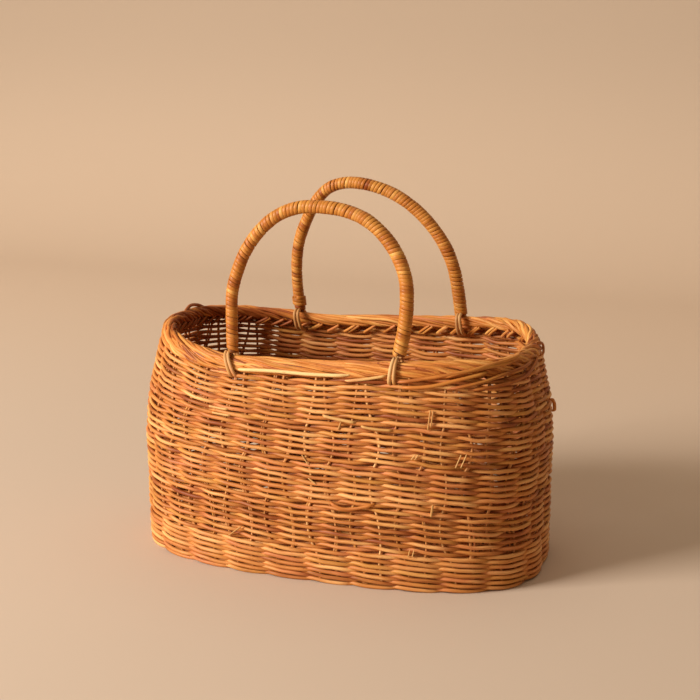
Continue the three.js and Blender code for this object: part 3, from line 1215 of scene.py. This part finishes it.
@dataclass
class WovenBase:
    """The floor of the basket, twined in ovals over ribs that spread from its middle."""

    shop: Workshop
    middle: float = 0.0043
    row_pitch: float = 0.0047
    outer_inset: float = 0.0085
    outer_pairs: int = 25
    inner_pairs: int = 13
    coarse_inset: float = 0.055
    stations: int = 9
    lag: float = 0.05
    slip: float = 0.04
    slip_waves: int = 16
    weaver_radius: float = 0.00145
    thickness: float = 0.05
    swing: float = 0.0021
    swing_sharpness: float = 1.6
    drop: float = 0.0011
    jitter: float = 0.0002
    jitter_waves: int = 20
    tone: float = 0.45
    tone_spread: float = 0.12
    tone_waves: int = 12
    rib_radius: float = 0.0012
    rib_place: float = 0.3
    rib_start: float = 0.006
    rib_end: float = 0.093
    rib_steps: int = 24
    rib_tone: float = 0.1

    def rows(self) -> None:
        """Makes the rows and ribs, and lets them stand for the floor's solid."""
        rods = self.shop.rods("base_weave", sides=THIN_SIDES)
        form = self.shop.form
        rng = self.shop.rng
        _, half_depth = form.halves(np.array(0.0), 0.0)
        inset = self.outer_inset
        while inset < half_depth - self.row_pitch:
            self.row(rods, inset, self.outer_pairs if inset < self.coarse_inset else self.inner_pairs)
            inset += self.row_pitch
        for rib in range(2 * self.outer_pairs):
            turns = np.full(self.rib_steps, (rib / 2 + self.rib_place) / self.outer_pairs)
            end = self.rib_end if rib % 2 else self.coarse_inset
            path = form.point(form.theta_at(turns), 0.0, np.linspace(self.rib_start, end, self.rib_steps))
            path[:, 2] = self.middle
            facing = np.tile(UP, (self.rib_steps, 1))
            rods.sweep(path, self.rib_radius, facing, 0.5 + self.rib_tone * rng.normal())
        self.shop.place(rods, WEAVER, Slot.WEAVE, ("base",))

    def row(self, rods: RodMesh, inset: float, pairs: int) -> None:
        """Adds one oval row.

        Args:
            rods: The piece that the strand goes into.
            inset: The row's distance from the body's edge.
            pairs: How many pairs of ribs the row crosses.
        """
        rng = self.shop.rng
        form = self.shop.form
        turns = np.linspace(0, ROW_LOOPS, ROW_LOOPS * pairs * self.stations, endpoint=False)
        phase = np.pi * (turns * pairs - self.lag + self.slip * wander(rng, turns, self.slip_waves, ROW_LOOPS))
        depth = np.tanh(self.swing_sharpness * np.cos(phase)) / np.tanh(self.swing_sharpness)
        sideways = inset + self.drop * np.sin(phase)
        sideways += self.jitter * wander(rng, turns, self.jitter_waves, ROW_LOOPS)
        path = form.point(form.theta_at(turns), 0.0, sideways)
        radius = self.weaver_radius * (1 + self.thickness * rng.normal())
        path[:, 2] = np.maximum(self.middle + self.swing * depth, radius)
        tone = self.tone + self.tone_spread * rng.normal()
        tone = tone + self.tone_spread * wander(rng, turns, self.tone_waves, ROW_LOOPS)
        rods.sweep(path, radius, np.tile(UP, (len(turns), 1)), tone, closed=True)


@dataclass
class RolledBorder:
    """The rope-like roll round the mouth, made of the stakes' bent ends, and the row tucked inside of it."""

    shop: Workshop
    body: TwinedBody
    rod_radius: float = 0.0013
    rod_thickness: float = 0.14
    start_jitter: float = 0.5
    travel: float = 0.15
    travel_jitter: float = 0.15
    end_haste: float = 0.4
    mark_steps: int = 4001
    layers: tuple[float, ...] = (1.0, 0.79)
    strands_to_pair: int = 4
    start_angle: float = np.radians(208)
    end_angle: float = np.radians(-88)
    steps: int = 56
    roll: float = 0.15
    roll_waves: int = 3
    twist: float = 0.07
    twist_waves: int = 8
    sink: float = 0.05
    start_dive: float = 0.35
    end_dive: float = 0.4
    dive_share: float = 0.04
    heave: float = 0.06
    heave_waves: int = 6
    rod_tone: float = 0.2
    strand_tone: float = 0.12
    tone_waves: int = 5
    shade_start: float = 0.6
    shade_end: float = 0.8
    shade_blur: float = 0.02
    shade: float = 0.2
    inner_shade: float = 0.4
    inner_start: float = 0.3
    inner_slope: float = 1.5
    core_share: float = 0.6
    # Painted shade: a low tone for the roll's dark filling.
    core_shade_tone: float = 0.3
    core_steps: int = 240
    core_sides: int = 12
    tuck_radius: float = 0.00125
    tuck_top: float = 0.0085
    tuck_fall: float = 0.0066
    tuck_width: float = 0.0115
    tuck_gap: float = 0.0022
    tuck_steps: int = 12
    tuck_place: float = 0.15
    tuck_jitter: float = 0.0004
    tuck_overlap: float = 0.001
    tuck_bow: float = 0.0008
    tuck_lean: float = 0.0012
    tuck_tone: float = 0.15

    def profile(self, angle: Array, share: Array | float) -> tuple[Array, Array]:
        """Gives a place on the roll's section.

        Args:
            angle: Angles round the section, from the outside upwards.
            share: How far out, 1 for a rod that lies at the surface.

        Returns:
            The inset and the height.
        """
        form = self.shop.form
        outward, up = superellipse(angle, form.border_squareness)
        half_width = form.border_width / 2 - self.rod_radius
        half_height = form.border_height / 2 - self.rod_radius
        inset = form.border_width / 2 - half_width * outward * share
        return inset, form.border_middle + half_height * up * share

    def rim_turns(self, marks: Array) -> Array:
        """Turns even marks into places round the rim, closer together at the basket's two ends."""
        turns = np.linspace(-1, 3, self.mark_steps)
        return np.interp(marks, turns - self.end_haste * np.sin(2 * TAU * turns) / (2 * TAU), turns)

    def strands(self) -> None:
        """Makes the roll: each strand climbs out inside, crosses the top and dives under outside."""
        rods = self.shop.rods("border_strands")
        count = self.strands_to_pair * self.body.pairs
        for layer, depth in enumerate(self.layers):
            for stake in range(count):
                self.strand(rods, stake + layer / 2, count, depth)
        self.shop.place(rods, BORDER, Slot.BORDER, ("border_roll",))

    def strand(self, rods: RodMesh, place: float, count: int, depth: float) -> None:
        """Adds one strand of the roll.

        Args:
            rods: The piece that the strand goes into.
            place: Its place among the strands of its layer.
            count: How many strands the layer has.
            depth: How far out it lies, 1 at the surface.
        """
        rng = self.shop.rng
        form = self.shop.form
        u = np.linspace(0, 1, self.steps)
        begin = (place + self.start_jitter * rng.normal()) / count
        turns = self.rim_turns(begin + u * self.travel * (1 + self.travel_jitter * rng.normal()))
        angle = self.start_angle + (self.end_angle - self.start_angle) * u
        angle = angle + self.roll * wander(rng, u, self.roll_waves)
        angle = angle + self.twist * wander(rng, u, self.twist_waves)
        share = depth - self.sink * u - self.start_dive * np.exp(-((u / self.dive_share) ** 2))
        share = share - self.end_dive * np.exp(-(((1 - u) / self.dive_share) ** 2))
        share = share + self.heave * wander(rng, u, self.heave_waves)
        inset, height = self.profile(angle, share)
        theta = form.theta_at(turns)
        path = form.point(theta, height, inset)
        middle = form.point(theta, form.border_middle, form.border_width / 2)
        radius = self.rod_radius * (1 + self.rod_thickness * rng.normal())
        tone = 0.5 + self.rod_tone * rng.normal()
        tone = tone + self.strand_tone * wander(rng, u, self.tone_waves) - self.shading(turns, angle)
        rods.sweep(path, radius, path - middle, tone)

    def shading(self, turns: Array, angle: Array) -> Array:
        """Tells how much darker the rods are at the back left, most of all on their inner side.

        Args:
            turns: Places in loops round the basket.
            angle: Angles round the roll's section, half a turn for its inner side.

        Returns:
            What is taken from their tones.
        """
        share = window(turns % 1, self.shade_start, self.shade_end, self.shade_blur)
        inner = np.clip(self.inner_start - self.inner_slope * np.cos(angle), 0, 1)
        return share * (self.shade + self.inner_shade * inner)

    def core(self) -> None:
        """Makes the inner strands that fill the roll, one joined ring, dark as painted shade between the
        strands.
        """
        rods = self.shop.rods("border_core")
        form = self.shop.form
        theta = form.theta_at(np.linspace(0, 1, self.core_steps, endpoint=False))
        path = form.point(theta, form.border_middle, form.border_width / 2)
        facing = form.point(theta, form.border_middle, 0.0) - path
        half_width = form.border_width / 2 * self.core_share
        half_height = form.border_height / 2 * self.core_share
        section = outline(self.core_sides, form.border_squareness, half_width, half_height)
        rods.sweep(path, 1.0, facing, self.core_shade_tone, closed=True, section=section)
        self.shop.place(rods, CORE_PAINTED_SHADE, Slot.BORDER)

    def tucked_row(self) -> None:
        """Makes the short slanted pairs of rods inside, under the roll."""
        rods = self.shop.rods("inner_tucks")
        rng = self.shop.rng
        form = self.shop.form
        u = np.linspace(0, 1, self.tuck_steps)
        _, _, around = form.ring
        count = 2 * self.body.pairs
        for stake in range(count):
            for hand in (-0.5, 0.5):
                begin = (stake + 0.5 + self.tuck_place * rng.normal()) / count
                turns = begin + ((u - 0.5) * self.tuck_width + hand * self.tuck_gap) / around
                height = form.height - self.tuck_top - self.tuck_fall * u + self.tuck_jitter * rng.normal()
                inset = form.border_width - self.tuck_overlap + self.tuck_bow * np.sin(np.pi * u)
                inset = inset - self.tuck_lean * u
                theta = form.theta_at(turns)
                tone = 0.5 + self.tuck_tone * rng.normal() - self.shading(turns, np.full_like(turns, np.pi))
                path = form.point(theta, height, inset)
                rods.sweep(path, self.tuck_radius, form.outward(theta, height), tone)
        self.shop.place(rods, BORDER, Slot.BORDER, ("inner_row",))


@dataclass
class BoundHandle:
    """An arched handle: a bundle of rods bound with flat cane."""

    shop: Workshop
    name: str
    side: int
    span: float
    arch: tuple[ArchPoint, ...]
    collar: bool = False
    shift: float = 0.0012
    diameter: float = 0.0105
    start_share: float = 0.88
    end_share: float = 1.03
    rise: float = 0.107
    lean: float = np.radians(6)
    foot: float = 0.179
    steps: int = 220
    core_radius: float = 0.0043
    core_sides: int = 14
    strips: int = 2
    strip_pitch: float = 0.0030
    strip_half_width: float = 0.00147
    strip_half_thickness: float = 0.0004
    strip_sides: int = 10
    strip_squareness: float = 4.0
    strip_end: float = 0.0005
    turn_stations: int = 14
    width_jitter: float = 0.13
    lift_jitter: float = 0.00008
    tone_spread: float = 0.18
    collar_start: float = 0.004
    collar_end: float = 0.0125
    collar_pitch: float = 0.0028
    collar_lift: float = 0.0014

    def line(self) -> Array:
        """Gives the arch's middle line.

        Returns:
            Points at even distances.
        """
        form = self.shop.form
        across = np.array([row.across for row in self.arch]) * self.span / 2
        rise = np.array([row.up for row in self.arch]) * self.rise
        foot = form.depth_at(across, form.border_middle, form.rim_width / 2)
        y = self.side * (foot - rise * np.sin(self.lean))
        z = self.foot + rise * np.cos(self.lean)
        return smooth_path(np.stack([across + self.shift, y, z], axis=1), self.steps)

    def thickness(self, way: Array) -> Array:
        """Gives the share of the handle's thickness along its way, thinner at its left foot."""
        return self.start_share + (self.end_share - self.start_share) * way

    def wind(self, rods: RodMesh, line: Array, start: float, end: float, pitch: float, radius: float) -> None:
        """Winds strips of flat cane round part of the arch.

        Args:
            rods: The piece that the strips go into.
            line: The arch's middle line.
            start: Where the strips start, in metres along the line.
            end: Where they end.
            pitch: The mean width of a strip's turn.
            radius: Distance of the strips' middle from the arch's middle line.
        """
        rng = self.shop.rng
        way = measure(line)
        count = max(2, int(round((end - start) / pitch)))
        turns = np.arange(count + 1)
        widths = 1 + self.width_jitter * rng.normal(size=count)
        marks = start + (end - start) * np.concatenate([[0.0], np.cumsum(widths)]) / widths.sum()
        lift = self.lift_jitter * rng.normal(size=count + 1)
        tones = 0.5 + self.tone_spread * rng.normal(size=count + 1)
        flat = np.array([0.0, np.cos(self.lean), self.side * np.sin(self.lean)])
        half_width = self.strip_half_width * pitch / self.strip_pitch
        section = outline(self.strip_sides, self.strip_squareness, self.strip_half_thickness, half_width)
        for strip in range(self.strips):
            steps = int((count - strip) / self.strips * self.turn_stations)
            wound = np.linspace(strip, count, steps + 1)
            places = np.interp(wound, turns, marks)
            centre = read_line(places, way, line)
            outward = unit(np.cross(unit(np.gradient(centre, axis=0)), flat))
            angle = (-TAU * (wound - strip) / self.strips)[:, None]
            reach = radius * self.thickness(places / way[-1]) + np.interp(wound, turns, lift)
            facing = np.cos(angle) * flat + np.sin(angle) * outward
            tone = np.interp(wound, turns, tones)
            rods.sweep(centre + reach[:, None] * facing, 1.0, facing, tone, section=section)

    def make(self) -> None:
        """Makes the core and its binding."""
        line = self.line()
        core = self.shop.rods(f"{self.name}_core", sides=self.core_sides)
        facing = np.tile([0.0, 1.0, 0.0], (len(line), 1))
        core.sweep(line, self.core_radius * self.thickness(np.linspace(0, 1, len(line))), facing, 0.5)
        # The core's dark finish is painted shade where it shows between the strips of the binding.
        self.shop.place(core, CORE_PAINTED_SHADE, Slot.BINDING)
        binding = self.shop.rods(f"{self.name}_binding")
        end = float(measure(line)[-1]) - self.strip_end
        radius = self.diameter / 2 - self.strip_half_thickness
        self.wind(binding, line, self.strip_end, end, self.strip_pitch, radius)
        if self.collar:
            radius += self.collar_lift
            self.wind(binding, line, self.collar_start, self.collar_end, self.collar_pitch, radius)
        self.shop.place(binding, BINDING, Slot.BINDING, (self.name,))


@dataclass(frozen=True)
class Foot:
    """One of the four feet of the handles."""

    name: str
    handle: BoundHandle
    end: int
    drift: float
    start: float = 0.0
    tone: float = 0.5


@dataclass
class FootTies:
    """The two rods at each foot that go round the rim and hold the handle down."""

    shop: Workshop
    rod_radius: float = 0.0014
    spacing: float = 0.0038
    gather: float = 0.35
    rod_clearance: float = 0.0006
    loop_squareness: float = 2.6
    loop_start: float = np.radians(18)
    tone_spread: float = 0.1
    sides: int = 9
    steps: int = 64

    def tie(self, foot: Foot) -> None:
        """Makes one foot's two rods.

        Args:
            foot: The foot.
        """
        form = self.shop.form
        rng = self.shop.rng
        half_width = form.rim_width / 2 + self.rod_clearance + self.rod_radius
        half_height = form.border_height / 2 + self.rod_clearance + self.rod_radius
        begin = np.pi / 2 - self.loop_start
        angle = np.linspace(begin, begin - TAU + 2 * self.loop_start, self.steps)
        outward, up = superellipse(angle, self.loop_squareness)
        middle = foot.handle.arch[foot.end].across * foot.handle.span / 2 + foot.handle.shift
        for number, hand in enumerate((-0.5, 0.5)):
            rods = self.shop.rods(f"tie_rod_{foot.name}_{number + 1}", sides=self.sides)
            apart = hand * self.spacing * (1 - self.gather * (1 + up) / 2)
            x = middle + foot.start + apart + foot.drift * form.border_height * (1 - up) / 2
            z = form.border_middle + half_height * up
            y = foot.handle.side * form.depth_at(x, z, form.rim_width / 2 - half_width * outward)
            path = np.stack([x, y, z + form.rise_at(x, y)], axis=1)
            facing = np.tile([1.0, 0.0, 0.0], (self.steps, 1))
            rods.sweep(path, self.rod_radius, facing, foot.tone + self.tone_spread * rng.normal())
            self.shop.place(rods, TIE, Slot.ROD, (f"tie_{foot.name}_{number + 1}",))


@dataclass
class StrayCane:
    """Single rods that lie over the weave, and the cut ends that stick out of it."""

    shop: Workshop
    steps: int = 48
    dive: float = 0.0022
    dive_share: float = 0.06
    taper: float = 0.45
    sides: int = 8

    def make(self, name: str, strands: tuple[LooseStrand, ...], finish: CaneFinish, dive: float) -> None:
        """Makes one piece of strands.

        Args:
            name: The piece's name.
            strands: The strands.
            finish: Their finish.
            dive: How far their ends dive into the weave.
        """
        rods = self.shop.rods(name, sides=self.sides)
        form = self.shop.form
        u = np.linspace(0, 1, self.steps)
        ends = np.exp(-((u / self.dive_share) ** 2)) + np.exp(-(((1 - u) / self.dive_share) ** 2))
        for strand in strands:
            knots = np.linspace(0, 1, len(strand.places))
            turns, z = (smooth_read(u, knots, np.array(row)) for row in zip(*strand.places))
            theta = form.theta_at(turns)
            path = form.point(theta, z, dive * ends - strand.out)
            radius = strand.radius * (1 - self.taper * ends)
            rods.sweep(path, radius, form.outward(theta, z), strand.tone)
        self.shop.place(rods, finish, Slot.WEAVE)

    def add(self) -> None:
        """Makes the pale strands, the bent strands and the cut ends."""
        self.make("loose_pale_strands", PALE_STRANDS, CREAM, self.dive)
        self.make("loose_bent_strands", BENT_STRANDS, BORDER, self.dive)
        self.make("cut_stubs", CUT_STUBS, CREAM, 0.0)


@dataclass(frozen=True)
class Lamp:
    """A soft square light that faces the basket."""

    name: str
    place: tuple[float, float, float]
    size: float
    power: float
    colour: Colour


LAMPS = (
    Lamp(name="key", place=(-1.97, -1.77, 1.25), size=1.1, power=120.0, colour=(1.0, 0.93, 0.84)),
    Lamp(name="top", place=(0.0, 0.6, 2.8), size=3.0, power=16.0, colour=(1.0, 0.92, 0.82)),
)


@dataclass
class Studio:
    """The floor, the lights and the camera."""

    azimuth: float = np.radians(19.452)
    elevation: float = np.radians(13.728)
    distance: float = 1.28168
    aim: tuple[float, float, float] = (0.0, 0.0, 0.150)
    sensor: float = 36.0
    lens: float = 82.056
    shift_x: float = 0.00278
    shift_y: float = 0.01842
    nearest: float = 0.05
    farthest: float = 60.0
    floor_size: float = 14.0
    floor_roughness: float = 0.85
    floor_colours: tuple[Colour, Colour] = ((0.595, 0.475, 0.375), (0.634, 0.505, 0.40))
    cloud_scale: float = 1.6
    cloud_detail: float = 4.0
    sweep_start: float = 1.05
    sweep_radius: float = 0.8
    sweep_height: float = 5.0
    sweep_steps: int = 24
    # Painted light: the floor turns paler towards the back, up to this distance and colour.
    painted_light_end: float = 0.95
    painted_light_colour: Colour = (0.72, 0.555, 0.42)
    shade_start: float = 0.0
    shade_end: float = 0.42
    shade: float = 0.24
    lamp_aim: tuple[float, float, float] = (0.0, 0.0, 0.1)
    sky_colour: Colour = (1.0, 0.77, 0.48)
    sky_strength: float = 0.26

    def camera(self) -> None:
        """Places the camera where the photograph was taken."""
        data = bpy.data.cameras.new("camera")
        data.sensor_width = self.sensor
        data.lens = self.lens
        data.shift_x, data.shift_y = self.shift_x, self.shift_y
        data.clip_start, data.clip_end = self.nearest, self.farthest
        camera = show("camera", data)
        level = np.cos(self.elevation)
        back = Vector((np.sin(self.azimuth) * level, -np.cos(self.azimuth) * level, np.sin(self.elevation)))
        camera.location = Vector(self.aim) + back * self.distance
        camera.rotation_mode = "QUATERNION"
        camera.rotation_quaternion = (-back).to_track_quat("-Z", "Y")
        bpy.context.scene.camera = camera
        bpy.context.scene.view_settings.view_transform = "Standard"

    def floor(self) -> None:
        """Makes the pale floor, which sweeps up far behind the basket."""
        turn = np.linspace(0, np.pi / 2, self.sweep_steps)
        half = self.floor_size / 2
        curve = self.sweep_start + self.sweep_radius * np.sin(turn)
        along = [-half, *curve, self.sweep_start + self.sweep_radius]
        height = [0.0, *(self.sweep_radius * (1 - np.cos(turn))), self.sweep_height]
        points = [(x, y, z) for y, z in zip(along, height) for x in (-half, half)]
        faces = [(2 * i, 2 * i + 1, 2 * i + 3, 2 * i + 2) for i in range(len(along) - 1)]
        mesh = bpy.data.meshes.new("floor")
        mesh.from_pydata(points, [], faces)
        mesh.polygons.foreach_set("use_smooth", [True] * len(faces))
        mesh.materials.append(self.floor_material())
        show("floor", mesh)

    def floor_material(self) -> bpy.types.Material:
        """Makes the floor's matt paint, a little cloudy, with painted light that makes it paler towards the
        back and painted shade that darkens it up the sweep.

        Returns:
            The material.
        """
        material, sheet = new_material("pale_floor")
        place = sheet.add("ShaderNodeTexCoord").outputs["Object"]
        waves = {"Vector": place, "Scale": self.cloud_scale, "Detail": self.cloud_detail}
        cloud = sheet.add("ShaderNodeTexNoise", waves).outputs[0]
        low, high = ((*colour, 1.0) for colour in self.floor_colours)
        parts = sheet.add("ShaderNodeSeparateXYZ", {0: place}).outputs
        # Painted light: paler towards the back.
        painted_light = sheet.spread(parts[1], 0.0, self.painted_light_end)
        colour = sheet.blend(painted_light, sheet.blend(cloud, low, high), (*self.painted_light_colour, 1.0))
        # Painted shade: darker up the sweep.
        shade = sheet.spread(parts[2], self.shade_start, self.shade_end, self.shade)
        colour = sheet.blend(shade, colour, (0.0, 0.0, 0.0, 1.0))
        paint = {"Base Color": colour, "Roughness": self.floor_roughness}
        shader = sheet.add("ShaderNodeBsdfPrincipled", paint)
        sheet.add("ShaderNodeOutputMaterial", {"Surface": shader.outputs[0]})
        return material

    def lights(self) -> None:
        """Lights the basket softly, most of all from the front left."""
        for lamp in LAMPS:
            data = bpy.data.lights.new(lamp.name, "AREA")
            data.size = lamp.size
            data.energy = lamp.power
            data.color = lamp.colour
            place = Vector(lamp.place)
            light = show(lamp.name, data)
            light.location = place
            light.rotation_mode = "QUATERNION"
            light.rotation_quaternion = (Vector(self.lamp_aim) - place).to_track_quat("-Z", "Y")
        world = bpy.data.worlds.new("studio")
        world.use_nodes = True
        sky = world.node_tree.nodes["Background"]
        sky.inputs["Color"].default_value = (*self.sky_colour, 1.0)
        sky.inputs["Strength"].default_value = self.sky_strength
        bpy.context.scene.world = world


def main() -> None:
    """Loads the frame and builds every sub-assembly."""
    logging.basicConfig(level=logging.INFO, format="%(name)s: %(message)s")
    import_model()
    studio = Studio()
    studio.camera()
    studio.floor()
    studio.lights()
    shop = Workshop(form=BasketForm(), canes=CaneShop(), rng=np.random.default_rng(SEED))
    body = TwinedBody(shop)
    body.weave()
    body.stakes()
    WovenBase(shop).rows()
    border = RolledBorder(shop, body)
    border.core()
    border.strands()
    border.tucked_row()
    front = BoundHandle(shop, name="handle_front", side=-1, span=0.138, arch=FRONT_ARCH)
    back = BoundHandle(shop, name="handle_back", side=1, span=0.146, arch=BACK_ARCH, collar=True)
    front.make()
    back.make()
    ties = FootTies(shop)
    for foot in (
        Foot(name="front_left", handle=front, end=0, drift=0.65, start=-0.0042, tone=0.5),
        Foot(name="front_right", handle=front, end=-1, drift=-0.04, start=-0.0022, tone=0.65),
        Foot(name="back_left", handle=back, end=0, drift=0.1),
        Foot(name="back_right", handle=back, end=-1, drift=0.1),
    ):
        ties.tie(foot)
    StrayCane(shop).add()


if __name__ == "__main__":
    main()
